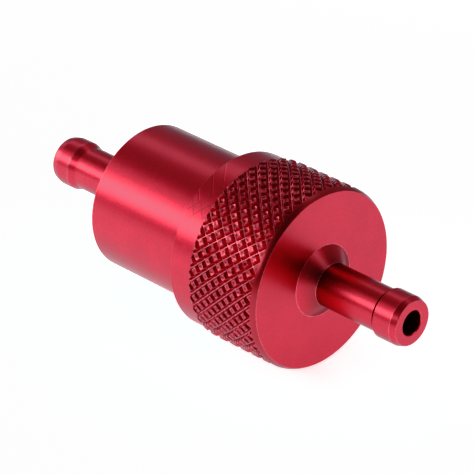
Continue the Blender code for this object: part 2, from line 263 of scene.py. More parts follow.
def nipple(face, tip, polished=False):
    """Outline from the flat face to the bore. Distances along it run towards the tip."""
    side = 1 if tip > face else -1
    foot = [
        (face, CONE_FOOT_R, -0.16, PAINTED_HIGHLIGHT),
        (face + side * CONE_LENGTH, NECK_R, -0.16, PAINTED_HIGHLIGHT),
    ]
    # The square collar has a narrow relief cut behind it and a bevel in front.
    collar = [
        (face + side * 6.5, NECK_R),
        (tip - side * 5.0, NECK_R, 0.03, 0),
        (tip - side * 4.93, RELIEF_R, -0.03),
        (tip - side * 4.58, RELIEF_R, -0.03),
        (tip - side * COLLAR_LENGTH, COLLAR_R, 0.12),
        # The bevel's back edge gets a doubled mark, a painted highlight line.
        (tip - side * 1.07, COLLAR_R, 0.22, 2.0),
        (tip, 3.68, 0.1),
    ]
    if polished:
        collar = [
            (tip - side * 5.5, NECK_R, -1.6),
            (tip - side * 4.1, COLLAR_R, 1.5, 0.6),
            (tip - side * 1.7, COLLAR_R, 2.0, 0),
            (tip - side * 0.4, 3.7, 0.9, 0),
            (tip, 3.1, 0.4, 0),
        ]
    return foot + collar + [(tip, BORE_R + 0.15, 0.05), (tip - side * 0.15, BORE_R, 0.08)]


print("nipple collar diameter:", 2 * COLLAR_R, "mm")

# %% [markdown]
# ## The screw thread
#
# The cap runs on a 1.5 mm right-hand thread.
# A thread is one long strip wound round the axis: a flat, a flank, the crest and the other flank.
# Each turn shares its edge with the next, which keeps the mesh closed without any Boolean.

# %% Wind a thread between two rings
PITCH = 1.5
ROOT_FLAT = 0.25  # shares of the pitch
CREST_FLAT = 0.125
BODY_THREAD = (10.45, 11.4)  # root and crest radius
CAP_THREAD = (11.7, 10.75)


def add_thread(bm, low, high, start, turns, root_r, crest_r):
    """Winds the strip between two rings, growing from nothing at each end over half a turn."""
    columns = len(low)
    layer = bm.verts.layers.float["wear_and_highlight"]
    flank = (1 - ROOT_FLAT - CREST_FLAT) / 2
    stations = (0, ROOT_FLAT, ROOT_FLAT + flank, 1 - flank, 1)
    heights = (0, 0, 1, 1, 0)
    last = columns * turns
    grid = []
    for k in range(last + 1):
        grown = min(1, 2 * k / columns, 2 * (last - k) / columns)
        row = []
        for station, height in zip(stations, heights):
            if station == 0 and k >= columns:
                row.append(grid[k - columns][-1])
                continue
            x = start + PITCH * (k / columns + station)
            radius = root_r + (crest_r - root_r) * height * grown
            vert = bm.verts.new(on_ring(x, radius, 2 * math.pi * k / columns))
            vert[layer] = 0.8 * height
            row.append(vert)
        grid.append(row)
    for a, b in zip(grid, grid[1:]):
        for j in range(len(stations) - 1):
            bm.faces.new((a[j], b[j], b[j + 1], a[j + 1]))
    for i in range(columns - 1):
        bm.faces.new((low[i], low[i + 1], grid[i + 1][0], grid[i][0]))
    chain = [low[0]] + grid[0] + [grid[columns - 1][0]]
    for a, b in zip(chain, chain[1:]):
        bm.faces.new((low[-1], a, b))
    first = last - columns
    for i in range(1, columns):
        k = (i + 1) % columns
        bm.faces.new((grid[first + i][-1], grid[first + i + 1][-1], high[k], high[i]))
    chain = [high[0]] + grid[last][::-1] + [grid[first + 1][-1]]
    for a, b in zip(chain, chain[1:]):
        bm.faces.new((high[1], a, b))


print("thread depth:", round(BODY_THREAD[1] - BODY_THREAD[0], 2), "mm, pitch:", PITCH, "mm")

# %% [markdown]
# ## The body
#
# The body is one bar turned outside, bored inside and threaded at its mouth.
# It could be left as the CAD solid, but that has flat facets that show in a polished highlight.
# So it is turned again with 160 columns, filleted corners and the same sizes.

# %% Turn the body
RING_GROOVE = (2.6, 5.0)
RING_GROOVE_R = 9.95
SHOULDER = 6.0
CHAMBER_FLOOR = -16.5
CHAMBER_R = 8.9
SPRING_SEAT = -17.5
SPRING_SEAT_R = 4.6


def make_body():
    bm, _ = new_mesh()
    root_r, crest_r = BODY_THREAD
    outside = nipple(BODY_END, INLET_TIP, polished=True)[::-1]
    outside += [
        (BODY_END, BODY_R, 0.28, 0.15),
        (RING_GROOVE[0], BODY_R, 0.12),
        (RING_GROOVE[0], RING_GROOVE_R, -0.15),
        (RING_GROOVE[1], RING_GROOVE_R, -0.15),
        (RING_GROOVE[1], BODY_R, 0.12),
        (SHOULDER, BODY_R, 0.2),
        (SHOULDER, root_r),
    ]
    first, shoulder = add_turned(bm, rounded(outside), FINE)
    low = add_ring(bm, 6.35, root_r, COARSE)
    join_rings(bm, shoulder, low)
    inside = [
        (15.6, root_r),
        (BODY_MOUTH, 10.15),
        (BODY_MOUTH, 9.2),
        (BODY_MOUTH - 0.3, CHAMBER_R),
        (CHAMBER_FLOOR, CHAMBER_R),
        (CHAMBER_FLOOR, SPRING_SEAT_R, 0.1),
        (SPRING_SEAT, SPRING_SEAT_R, -0.1),
        (SPRING_SEAT, BORE_R),
    ]
    high, last = add_turned(bm, rounded(inside), COARSE)
    add_thread(bm, low, high, 6.5, 5, root_r, crest_r)
    join_rings(bm, last, first)
    return finish_mesh("body_shell", bm)


body_shell = make_body()
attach(body_shell, "body")
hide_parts("inlet_body")

# %% [markdown]
# ## The knurl
#
# Knurling is pressed in by a pair of ridged wheels that roll round the cap at 45 degrees.
# Each wheel leaves V grooves, and the metal they push aside stands up as a rim on every diamond.
# An image or a bump pattern would give a smooth outline, and a knurl's outline is its best feature.
# So the grooves are real geometry, on a grid that runs along the two groove directions.
# The grid lines crowd together at the groove roots and at the rims, where the shape turns fastest.
# A groove's flanks also see little light, so the mesh carries a second mark: painted shade.
# The finish darkens the metal by it on the flanks and on the diamond tops, though not along the roots.

# %% Press the knurl
KNURL_X = (5.4, 18.36)
KNURL_AROUND = 40
KNURL_ROWS = 11
ROOT_R = 14.33
# Grid lines from one groove to the next. The tables give height, dip, painted shade at each.
TICKS = (0, 0.04, 0.065, 0.22, 0.27, 0.38, 0.5, 0.62, 0.73, 0.78, 0.935, 0.96)
PROFILE = {0: 0.02, 0.04: 0.0, 0.065: 0.1, 0.22: 0.9, 0.27: 1.0, 0.38: 0.98, 0.5: 0.96}
CRATER = {0.27: 0.0, 0.38: 0.8, 0.5: 1.0}
SHADE_PAINT = {0: 0.0, 0.04: 0.0, 0.065: 0.5, 0.22: 0.45, 0.27: 0.35, 0.38: 0.7, 0.5: 0.85}
RIM = 0.27
FADE_OUT = ((5.7, -0.5), (17.6, 0.34))  # where the knurl starts to sink at each end, and how fast


def from_groove(tick):
    """How far a grid line is from its nearest groove."""
    return round(min(tick, 1 - tick), 3)


def root_or_rim(tick):
    """Wear mark: strong along the roots, where it paints bright highlight lines, and weaker on the rims,
    which are paler as rubbed edges and as painted highlights.
    """
    return 2.2 if tick in (0, 0.04) else 1.0 if tick == RIM else 0.0


def add_knurl(bm):
    """The knurled surface. Returns its two end rings."""
    chance = random.Random(7)
    layer = bm.verts.layers.float["wear_and_highlight"]
    painted_shade = bm.verts.layers.float.new("painted_shade")
    n = len(TICKS)
    around = KNURL_AROUND * n
    across = KNURL_ROWS * n
    half_pitch = math.pi / KNURL_AROUND
    row_step = (KNURL_X[1] - KNURL_X[0]) / KNURL_ROWS
    depth = CREST_R - ROOT_R
    pits = {}
    grid = []
    for i in range(around):
        row = []
        for d in range(across + 1):
            tick_u = TICKS[i % n]
            tick_v = TICKS[(i - d) % n]
            u = i // n + tick_u
            v = (i - d) // n + tick_v
            x = KNURL_X[0] + (u - v) * row_step
            tu = from_groove(tick_u)
            tv = from_groove(tick_v)
            height = min(PROFILE[tu], PROFILE[tv])
            if tu >= RIM and tv >= RIM:
                # Each diamond's top dips and leans a little differently.
                pad = (i // n % KNURL_AROUND, (i - d) // n % KNURL_AROUND)
                if pad not in pits:
                    lean = (-0.15, 0.15)
                    pits[pad] = [chance.uniform(*ends) for ends in ((0.06, 0.26), lean, lean)]
                pit, lean_u, lean_v = pits[pad]
                height -= (pit + chance.uniform(-0.1, 0.1)) * (CRATER[tu] * CRATER[tv])
                height += lean_u * (tick_u - 0.5) + lean_v * (tick_v - 0.5)
            radius = ROOT_R + depth * min(1.0, height)
            for start, slope in FADE_OUT:
                radius = min(radius, CREST_R - max(0, slope * (x - start)))
            vert = bm.verts.new(on_ring(x, radius, (u + v) * half_pitch))
            vert[layer] = root_or_rim(min(tu, tv))
            # Painted shade from the table, by the nearer groove.
            vert[painted_shade] = SHADE_PAINT[min(tu, tv)]
            row.append(vert)
        grid.append(row)
    for i in range(around):
        ahead = grid[(i + 1) % around]
        here = grid[i]
        bm.faces.new((here[0], ahead[1], ahead[0]))
        for d in range(1, across):
            bm.faces.new((here[d], ahead[d + 1], ahead[d], here[d - 1]))
        bm.faces.new((here[across], ahead[across], here[across - 1]))
    return [row[0] for row in grid], [row[across] for row in grid]


groove_step = 2 * (KNURL_X[1] - KNURL_X[0]) / KNURL_ROWS / math.sqrt(2)
print("groove spacing across the groove:", round(groove_step, 2), "mm")

# %% [markdown]
# ## The cap
#
# The cap is the piece that everyone looks at: a smooth band, the knurl, a bevel and a flat face.
# The rings beside the knurl use the knurl's own angles, so the skin runs on from it without a gap.
# Its inside has the thread, the skirt that covers the seal, and the seat for the element.
# The bevel, the cone and the relief cut get the same mark, so painted shade darkens them too.

# %% Turn and knurl the cap
CAP_FLOOR = 16.5
NOSE_SEAT = 17.4
NOSE_SEAT_R = 4.4
SKIRT_R = 12.35


def paint_shade(bm, start, end, inner, amount):
    """Paints shade: sets the painted-shade mark to an amount on every point between two places along X and
    beyond a radius.
    """
    painted_shade = bm.verts.layers.float["painted_shade"]
    for vert in bm.verts:
        if start < vert.co.x / MM < end and vert.co.yz.length > inner * MM:
            vert[painted_shade] = amount


def make_cap():
    bm, _ = new_mesh()
    rear_end, front_end = add_knurl(bm)
    rear_angles = [angle_of(v) for v in rear_end]
    front_angles = [angle_of(v) for v in front_end]
    band = [(CAP_REAR, 12.9), (CAP_REAR, BAND_R, 0.12, 0), (5.02, BAND_R), (5.16, BAND_R)]
    rear, band_end = add_turned(bm, rounded(band), rear_angles)
    join_rings(bm, band_end, rear_end)
    face = [(18.52, 14.92), (18.7, 14.88), (19.1, 14.72), (CAP_FACE, 14.47, 0.1), (CAP_FACE, 12.0)]
    bevel, edge = add_turned(bm, rounded(face), front_angles)
    join_rings(bm, front_end, bevel)
    # Painted shade on the bevel, the cone and the relief cut behind the collar.
    paint_shade(bm, 18.5, CAP_FACE - 0.05, 14.4, 0.6)
    outlet = [
        (CAP_FACE, 7.0),
        *nipple(CAP_FACE, OUTLET_TIP),
        (NOSE_SEAT, BORE_R),
        (NOSE_SEAT, NOSE_SEAT_R, -0.08),
        (CAP_FLOOR, NOSE_SEAT_R, 0.1),
        (CAP_FLOOR, 5.5),
    ]
    foot, seat = add_turned(bm, rounded(outlet), FINE)
    join_rings(bm, edge, foot)
    paint_shade(bm, CAP_FACE + 0.12, CAP_FACE + 2.2, 3.5, 0.9)
    paint_shade(bm, OUTLET_TIP - 5.02, OUTLET_TIP - COLLAR_LENGTH - 0.01, 0, 1.6)
    root_r, crest_r = CAP_THREAD
    floor_ring, high = add_turned(bm, [(CAP_FLOOR, root_r, 0), (15.1, root_r, 0)], COARSE)
    join_rings(bm, seat, floor_ring)
    skirt = [
        (6.84, root_r),
        (6.3, 12.0),
        (6.3, SKIRT_R),
        (CAP_REAR + 0.4, SKIRT_R, 0.1),
        (CAP_REAR, 12.75),
    ]
    low, mouth = add_turned(bm, rounded(skirt), COARSE)
    add_thread(bm, low, high, 7.34375, 4, root_r, crest_r)
    join_rings(bm, mouth, rear)
    return finish_mesh("cap_shell", bm)


cap_shell = make_cap()
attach(cap_shell, "cap")
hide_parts("outlet_cap")

# %% [markdown]
# ## The seal
#
# An O-ring is moulded in two halves, and the mould leaves a fine flash line round both its edges.
# It is a torus in the middle of the body's groove, with those lines raised by 0.015 mm.

# %% Mould the O-ring
SEAL_SIDES = 28
FLASH = 0.015  # share of the ring's thickness


def make_seal():
    start, end, outer = span("body_o_ring")
    wire = (end - start) / 2
    centre = outer - wire
    bm, _ = new_mesh()
    rings = []
    angles = round_angles(144)
    for k in range(SEAL_SIDES):
        turn = 2 * math.pi * k / SEAL_SIDES
        swell = wire * (1 - FLASH + (FLASH if k in (0, SEAL_SIDES // 2) else 0))
        x = (start + end) / 2 + swell * math.sin(turn)
        rings.append(add_ring(bm, x, centre + swell * math.cos(turn), angles))
    for a, b in zip(rings, rings[1:] + rings[:1]):
        join_rings(bm, a, b)
    return finish_mesh("seal_ring", bm, sharp=60)


seal_ring = make_seal()
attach(seal_ring, "body")
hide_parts("body_o_ring")

# %% [markdown]
# ## The spring
#
# A compression spring pushes the element against the cap.
# Its wire follows a helix that closes up to one flat turn at each end.
# The spring stretches when the cap is unscrewed, so it is blended between the body and the element.

# %% Wind the spring
SPRING_TURNS = 7
SPRING_WIRE_R = 0.4


def make_spring():
    start, end, outer = span("element_spring")
    wire = SPRING_WIRE_R
    mean = outer - wire
    sides = 12
    steps = 40
    closed = 2.2 * wire  # pitch of the turn at each end
    low = start + wire
    active = (end - wire) - low - 2 * closed
    bm, _ = new_mesh()
    rings = []
    for k in range(SPRING_TURNS * steps + 1):
        turn = k / steps
        dead = min(turn, 1) + max(0, turn - (SPRING_TURNS - 1))
        x = low + closed * dead + active * (turn - dead) / (SPRING_TURNS - 2)
        angle = 2 * math.pi * turn
        ring = []
        for j in range(sides):
            about = 2 * math.pi * j / sides
            point = on_ring(x + wire * math.sin(about), mean + wire * math.cos(about), angle)
            ring.append(bm.verts.new(point))
        rings.append(ring)
    for a, b in zip(rings, rings[1:]):
        join_rings(bm, a, b)
    bm.faces.new(rings[0])
    bm.faces.new(rings[-1])
    return finish_mesh("spring_coil", bm, sharp=50), start, end


spring_coil, spring_start, spring_end = make_spring()
spring_start = (spring_start * MM, 0, 0)
spring_end = (spring_end * MM, 0, 0)
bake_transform(spring_coil, "body", "element", start=spring_start, end=spring_end)
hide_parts("element_spring")

# %% [markdown]
# ## The screen element
#
# Fuel passes inwards through a sleeve of woven wire that a drilled brass tube holds up.
# A real 60 micron weave has wires far too fine to draw one by one.
# This one is a plain weave of the same kind with 0.14 mm wires about 0.8 mm apart.
# Each hoop passes over one lengthwise wire and under the next, and the wires beside it do the opposite.

# %% Weave the screen
WIRE_R = 0.07
WIRE_SIDES = 5
BARS = 44
HOOPS = 25
CROSSING = 3  # points from one crossing to the next


def add_wire(bm, path, normals, closed):
    """A wire along a path. normals point away from the axis at each step."""
    rings = []
    count = len(path)
    for k in range(count):
        ahead = path[(k + 1) % count] if closed or k < count - 1 else path[k]
        behind = path[k - 1] if closed or k else path[k]
        along = (ahead - behind).normalized()
        side = along.cross(normals[k]).normalized()
        out = side.cross(along)
        ring = []
        for j in range(WIRE_SIDES):
            turn = 2 * math.pi * j / WIRE_SIDES
            arm = side * math.cos(turn) + out * math.sin(turn)
            ring.append(bm.verts.new(path[k] + arm * WIRE_R * MM))
        rings.append(ring)
    for a, b in zip(rings, rings[1:] + (rings[:1] if closed else [])):
        join_rings(bm, a, b)
    if not closed:
        bm.faces.new(rings[0])
        bm.faces.new(rings[-1])


def make_screen():
    start, end, outer = span("element_screen")
    first = start + WIRE_R
    middle = outer - 2 * WIRE_R
    step = (end - start - 2 * WIRE_R) / (HOOPS - 1)
    bm, _ = new_mesh()
    for i in range(BARS):
        angle = 2 * math.pi * i / BARS
        path = []
        for k in range(CROSSING * (HOOPS - 1) + 1):
            weave = math.cos(math.pi * (k / CROSSING + i)) * WIRE_R
            path.append(Vector(on_ring(first + step * k / CROSSING, middle + weave, angle)))
        out = Vector(on_ring(0, 1, angle)).normalized()
        add_wire(bm, path, [out] * len(path), closed=False)
    for h in range(HOOPS):
        path = []
        normals = []
        for k in range(CROSSING * BARS):
            angle = 2 * math.pi * k / (CROSSING * BARS)
            weave = -math.cos(math.pi * (k / CROSSING + h)) * WIRE_R
            path.append(Vector(on_ring(first + step * h, middle + weave, angle)))
            normals.append(Vector(on_ring(0, 1, angle)).normalized())
        add_wire(bm, path, normals, closed=True)
    return finish_mesh("screen_weave", bm, sharp=80)


screen_weave = make_screen()
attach(screen_weave, "element")
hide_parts("element_screen")

# %% [markdown]
# ## The core tube
#
# The screen is too thin to stand the fuel's pressure, so a drilled brass tube holds it up from inside.
# Round holes across a round wall have no simple outline, so this is the one piece cut with a Boolean.
# The holes stand in staggered rows, which keeps the metal between them even.

# %% Drill the core tube
CORE_BORE_R = 4.6
HOLE_R = 1.0
HOLE_ROWS = 5
HOLES_ROUND = 6
FIRST_ROW = -4.2
ROW_STEP = 3.5


def make_core():
    start, end, outer = span("element_core")
    ends = ((start, outer), (end, outer), (end, CORE_BORE_R), (start, CORE_BORE_R))
    tube = turned_ring("core_tube", [(*corner, 0.08) for corner in ends], 96)
    across_wall = Matrix.Rotation(math.pi / 2, 4, "X")
    bm = bmesh.new()
    for row in range(HOLE_ROWS):
        for i in range(HOLES_ROUND):
            angle = 2 * math.pi * (i + 0.5 * (row % 2)) / HOLES_ROUND
            turn = Matrix.Rotation(angle, 4, "X")
            out = Matrix.Translation(((FIRST_ROW + ROW_STEP * row) * MM, 4.9 * MM, 0))
            bmesh.ops.create_cone(
                bm,
                cap_ends=True,
                segments=24,
                radius1=HOLE_R * MM,
                radius2=HOLE_R * MM,
                depth=1.8 * MM,
                matrix=turn @ out @ across_wall,
            )
    drill_mesh = bpy.data.meshes.new("core_drill")
    bm.to_mesh(drill_mesh)
    bm.free()
    drill = bpy.data.objects.new("core_drill", drill_mesh)
    bpy.context.scene.collection.objects.link(drill)
    cut = tube.modifiers.new("holes", "BOOLEAN")
    cut.operation = "DIFFERENCE"
    cut.solver = "EXACT"
    cut.object = drill
    bpy.context.view_layer.update()
    graph = bpy.context.evaluated_depsgraph_get()
    drilled = bpy.data.meshes.new_from_object(tube.evaluated_get(graph))
    tube.modifiers.clear()
    tube.data = drilled
    drilled.shade_smooth()
    drilled.set_sharp_from_angle(angle=math.radians(38))
    bpy.data.objects.remove(drill)
    bpy.data.meshes.remove(drill_mesh)
    print("holes drilled:", HOLE_ROWS * HOLES_ROUND, "faces now:", len(drilled.polygons))
    return tube


core_tube = make_core()
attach(core_tube, "element")
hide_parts("element_core")

# %% [markdown]
# ## The element's end fittings
#
# Two rolled bands clamp the screen.
# A disc closes one end, and a flanged collar leads the fuel out of the other, through a flat gasket.
# All but the gasket are small brass parts, and each is one outline with its corners rounded.

# %% Turn the bands, the disc, the collar and the gasket
BAND_BORE_R = 6.1
DISC_FLANGE = (-9.0, -7.8)
COLLAR_FLANGE = (13.5, 15.0)


def make_band(name, node):
    start, end, outer = span(node)
    corners = [
        (start, outer - 0.14, 0.06),
        (start + 0.2, outer, 0.12),
        (start + 0.62, outer, 0.1),
        (start + 0.8, outer - 0.16, -0.1),
        (end - 0.8, outer - 0.16, -0.1),
        (end - 0.62, outer, 0.1),
        (end - 0.2, outer, 0.12),
        (end, outer - 0.14, 0.06),
        (end, BAND_BORE_R),
        (start, BAND_BORE_R),
    ]
    return turned_ring(name, corners)


def make_disc():
    start, end, _ = span("element_end_disc")
    back, front = DISC_FLANGE
    bm, _ = new_mesh()
    corners = [
        (start, 0.4),
        (start, 2.7, 0.3),
        (back, 2.7, -0.1),
        (back, 6.6, 0.2),
        (front, 6.6, 0.15),
        (front, 4.3, -0.1),
        (end, 4.3, 0.15),
        (end, 0.4),
    ]
    first, last = add_turned(bm, rounded(corners), round_angles(128))
    bm.faces.new(first)
    bm.faces.new(last)
    return finish_mesh("end_disc", bm)


def make_collar():
    start, end, outer = span("element_collar")
    back, front = COLLAR_FLANGE
    corners = [
        (start, 4.3, 0.12),
        (back, 4.3, -0.1),
        (back, outer, 0.25),
        (front, outer, 0.25),
        (front, 4.0, -0.1),
        (end, 4.0, 0.28),
        (end, 2.8, 0.15),
        (start, 2.8, 0.12),
    ]
    return turned_ring("open_collar", corners)


def make_gasket():
    start, end, outer = span("element_gasket")
    corners = [(start, outer, 0.16), (end, outer, 0.16), (end, 4.3, 0.16), (start, 4.3, 0.16)]
    return turned_ring("seat_gasket", corners)


fittings = {
    "screen_band_inlet": (make_band("band_inlet", "screen_band_inlet"), "brass"),
    "screen_band_outlet": (make_band("band_outlet", "screen_band_outlet"), "brass"),
    "element_end_disc": (make_disc(), "brass"),
    "element_collar": (make_collar(), "brass"),
    "element_gasket": (make_gasket(), "rubber"),
}
for node, (piece, slot_name) in fittings.items():
    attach(piece, "element")
    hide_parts(node)

# %% [markdown]
# ## Colours and nodes
#
# A colour picked on a screen is an sRGB hex value, and Blender's shaders work in linear light.
# One function turns the first into the second, and one other adds a node, sets it and links it.
# Sockets are named by their label or their number.
# In a Map Range node, 1 to 4 are the lowest and highest value in, then the values they give.


# %% Colour and node helpers
def linear(code):
    """An sRGB hex colour as linear light, with an alpha of 1."""
    values = [int(code[i : i + 2], 16) / 255 for i in (1, 3, 5)]
    lit = [v / 12.92 if v <= 0.04045 else ((v + 0.055) / 1.055) ** 2.4 for v in values]
    return (*lit, 1.0)


def new_material(name, code, **sockets):
    material = bpy.data.materials.new(name)
    material.use_nodes = True
    shader = material.node_tree.nodes["Principled BSDF"]
    shader.inputs["Base Color"].default_value = linear(code)
    for socket, value in sockets.items():
        shader.inputs[socket.replace("_", " ")].default_value = value
    return material, shader


def add(tree, kind, settings=(), **links):
    """Adds a node. settings are properties and plain values, links are sockets fed by nodes."""
    node = tree.nodes.new(kind)
    for key, value in dict(settings).items():
        if isinstance(key, int) or key in node.inputs:
            node.inputs[key].default_value = value
        else:
            setattr(node, key, value)
    for key, source in links.items():
        socket = int(key[1:]) if key[0] == "i" and key[1:].isdigit() else key.replace("_", " ")
        tree.links.new(source, node.inputs[socket])
    return node


def times(tree, a, b):
    return add(tree, "ShaderNodeMath", {"operation": "MULTIPLY"}, i0=a, i1=b).outputs[0]


def in_millimetres(tree):
    """The place on the piece, so that every pattern's scale is a count per millimetre."""
    place = add(tree, "ShaderNodeTexCoord").outputs["Object"]
    settings = {"operation": "SCALE", "Scale": 1000.0}
    return add(tree, "ShaderNodeVectorMath", settings, i0=place).outputs[0]


def tool_rings(tree, mm, settings):
    """Noise that changes only as the lathe tool moves.

    On a cylinder x changes along the piece and on a face the radius does, so their sum serves both.
    """
    x = add(tree, "ShaderNodeSeparateXYZ", i0=mm).outputs["X"]
    flat = {"operation": "MULTIPLY", 1: (0, 1, 1)}
    across = add(tree, "ShaderNodeVectorMath", flat, i0=mm).outputs[0]
    radius = add(tree, "ShaderNodeVectorMath", {"operation": "LENGTH"}, i0=across).outputs["Value"]
    feed = add(tree, "ShaderNodeMath", {"operation": "ADD"}, i0=x, i1=radius).outputs[0]
    settings = {"noise_dimensions": "1D", **settings}
    return add(tree, "ShaderNodeTexNoise", settings, W=feed).outputs[0]


RED = "#D2263F"
print("anodised red in linear light:", [round(v, 3) for v in linear(RED)[:3]])

# %% [markdown]
# ## Marks from the knurling wheels
#
# A wheel skids a little before it bites, and leaves faint slanting scratches on the band beside the knurl.
# They are far finer than the mesh, so the finish draws them by X and distance round the band.
# A few long ones run alone, and a patch of short crossed ones lies lower on the same side.

# %% Draw the wheel marks
SLANT = 1.25  # distance round the band for each millimetre of X
SCRATCHES = ((0.9, 2.3, -7.45), (0.9, 3.9, -3.89), (0.9, 3.9, -1.04))  # X from, X to, offset
HATCH_X = (2.9, 2.1)  # middle and half width
HATCH_GIRTH = (-12.9, 2.6)
HATCH_STEP = 1.15


def within(tree, value, middle, half):
    settings = {"operation": "COMPARE", 1: middle, 2: half}
    return add(tree, "ShaderNodeMath", settings, i0=value).outputs[0]


def wheel_marks(tree, mm):
    """A factor for the colour: 1 on clear metal, lower on a scratch, and higher on its painted highlight
    side.
    """
    parts = add(tree, "ShaderNodeSeparateXYZ", i0=mm).outputs
    x = parts["X"]
    arctan = {"operation": "ARCTAN2"}
    turn = add(tree, "ShaderNodeMath", arctan, i0=parts["Y"], i1=parts["Z"]).outputs[0]
    scale = {"operation": "MULTIPLY", 1: BAND_R}
    girth = add(tree, "ShaderNodeMath", scale, i0=turn).outputs[0]
    rising, falling = (
        add(tree, "ShaderNodeMath", {"operation": "MULTIPLY_ADD", 1: lean}, i0=x, i2=girth).outputs[0]
        for lean in (SLANT, -SLANT)
    )
    marks = []
    # Each long scratch has a painted highlight on one side and painted shade on the other, as light falls on
    # a raised burr.
    for start, end, offset in SCRATCHES:
        subtract = {"operation": "SUBTRACT", 1: offset}
        away = add(tree, "ShaderNodeMath", subtract, i0=rising).outputs[0]
        off = add(tree, "ShaderNodeMath", {"operation": "ABSOLUTE"}, i0=away).outputs[0]
        near = add(tree, "ShaderNodeMapRange", {1: 0.1, 2: 0.3, 3: 1.0, 4: 0.0}, i0=off).outputs[0]
        painted_burr_light = {1: -0.12, 2: 0.12, 3: 0.7, 4: -1.5}
        sides = add(tree, "ShaderNodeMapRange", painted_burr_light, i0=away).outputs[0]
        reach = within(tree, x, (start + end) / 2, (end - start) / 2)
        marks.append(times(tree, times(tree, near, sides), reach))
    patch = times(tree, within(tree, x, *HATCH_X), within(tree, girth, *HATCH_GIRTH))
    for lean in (rising, falling):
        repeat = {"operation": "PINGPONG", 1: HATCH_STEP}
        near = add(tree, "ShaderNodeMath", repeat, i0=lean).outputs[0]
        line = add(tree, "ShaderNodeMapRange", {1: 0.04, 2: 0.2, 3: 0.34, 4: 0.0}, i0=near).outputs[0]
        marks.append(times(tree, line, patch))
    one_less = {"operation": "SUBTRACT", 0: 1.0}
    clear = [add(tree, "ShaderNodeMath", one_less, i1=mark).outputs[0] for mark in marks]
    factor = clear[0]
    for other in clear[1:]:
        factor = times(tree, factor, other)
    return factor


print("long wheel marks:", len(SCRATCHES))

# %% [markdown]
# ## Anodised aluminium
#
# Anodising grows a clear, hard oxide on the metal and fills it with dye.
# The metal under the dye gives coloured reflections.
# The oxide's own skin adds a faint white sheen at low angles.
# So the shader is a full metal in deep red, with a thin coat over it.
# Dye also swallows light that crosses it at a slant, so the metal's edge tint is a dark blue-grey.
# The lathe tool leaves rings about 0.1 mm apart, too fine to show, so they are drawn 0.3 mm apart.
# A satin etch before the dye leaves a fine grain all over.
# Dye is thinner on rubbed edges, so the wear mark makes them paler, and where that mark is strong it paints
# highlight lines.
# The painted-shade mark paints hollows and some dark-looking parts darker.


# %% Make the red anodised finish
def anodised(name, marks=False):
    material, shader = new_material(
        name,
        RED,
        Metallic=1.0,
        Roughness=0.34,
        Coat_Weight=0.75,
        Coat_Roughness=0.27,
        Coat_IOR=1.6,
        Specular_Tint=(0.3, 0.35, 0.45, 1.0),
    )
    tree = material.node_tree
    mm = in_millimetres(tree)
    rings = tool_rings(tree, mm, {"Scale": 3.3, "Detail": 2.0})
    etch = {"Scale": 3.4, "Detail": 3.0, "Roughness": 0.65}
    grain = add(tree, "ShaderNodeTexNoise", etch, Vector=mm).outputs[0]
    cloud = add(tree, "ShaderNodeTexNoise", {"Scale": 0.22, "Detail": 2.0}, Vector=mm).outputs[0]
    wear_and_highlight = add(tree, "ShaderNodeAttribute", {"attribute_name": "wear_and_highlight"}).outputs["Fac"]
    painted_shade = add(tree, "ShaderNodeAttribute", {"attribute_name": "painted_shade"}).outputs["Fac"]

    # How much dye shows: the even surface first, then the painted shade in the hollows and the wheel marks.
    tone = add(tree, "ShaderNodeMapRange", {1: 0.3, 2: 0.7, 3: 0.95, 4: 1.04}, i0=cloud).outputs[0]
    speck = add(tree, "ShaderNodeMapRange", {1: 0.3, 2: 0.7, 3: 0.9, 4: 1.1}, i0=grain).outputs[0]
    streak = add(tree, "ShaderNodeMapRange", {1: 0.3, 2: 0.7, 3: 0.975, 4: 1.025}, i0=rings).outputs[0]
    even = times(tree, tone, times(tree, speck, streak))
    # Painted shade: darker where the painted-shade mark is high, down to 7 percent of the colour.
    groove = add(tree, "ShaderNodeMapRange", {2: 1.6, 3: 1.0, 4: 0.07}, i0=painted_shade).outputs[0]
    shade = times(tree, even, groove)
    if marks:
        shade = times(tree, shade, wheel_marks(tree, mm))
    full = {"operation": "SCALE", 0: linear(RED)[:3]}
    dye = add(tree, "ShaderNodeVectorMath", full, Scale=shade).outputs[0]

    # Rubbed edges are paler in patches. The same mark, where it is strong, paints highlight lines on hollow
    # corners and knurl roots.
    patchiness = add(tree, "ShaderNodeMapRange", {1: 0.35, 2: 0.62, 3: 0.05, 4: 0.34}, i0=grain).outputs[0]
    wear_and_highlight_paling = times(tree, wear_and_highlight, patchiness)
    blend = {"data_type": "RGBA", 7: linear("#F08C9C")}
    pale = add(tree, "ShaderNodeMix", blend, i0=wear_and_highlight_paling, i6=dye).outputs[2]
    tree.links.new(pale, shader.inputs["Base Color"])

    satin = add(tree, "ShaderNodeMapRange", {1: 0.25, 2: 0.75, 3: 0.28, 4: 0.4}, i0=grain).outputs[0]
    tree.links.new(satin, shader.inputs["Roughness"])
    ridge = {"Strength": 0.4, "Distance": 0.01 * MM}
    lines = add(tree, "ShaderNodeBump", ridge, Height=rings).outputs[0]
    pitted = {"Strength": 0.7, "Distance": 0.012 * MM}
    relief = add(tree, "ShaderNodeBump", pitted, Height=grain, Normal=lines).outputs[0]
    tree.links.new(relief, shader.inputs["Normal"])
    return material


red_body = anodised("anodised_aluminium_body")
red_cap = anodised("anodised_aluminium_cap", marks=True)
body_shell.data.materials.append(red_body)
cap_shell.data.materials.append(red_cap)
print("red finishes:", red_body.name, red_cap.name)

# %% [markdown]
# ## Rubber, steel, brass and wire
#
# Moulded nitrile rubber is nearly black with a matt, faintly dusty skin.
# Drawn spring steel is bright and carries fine lines from the die.
# Turned brass is warm, with tool rings and a little tarnish, and the woven wire is a greyer steel.


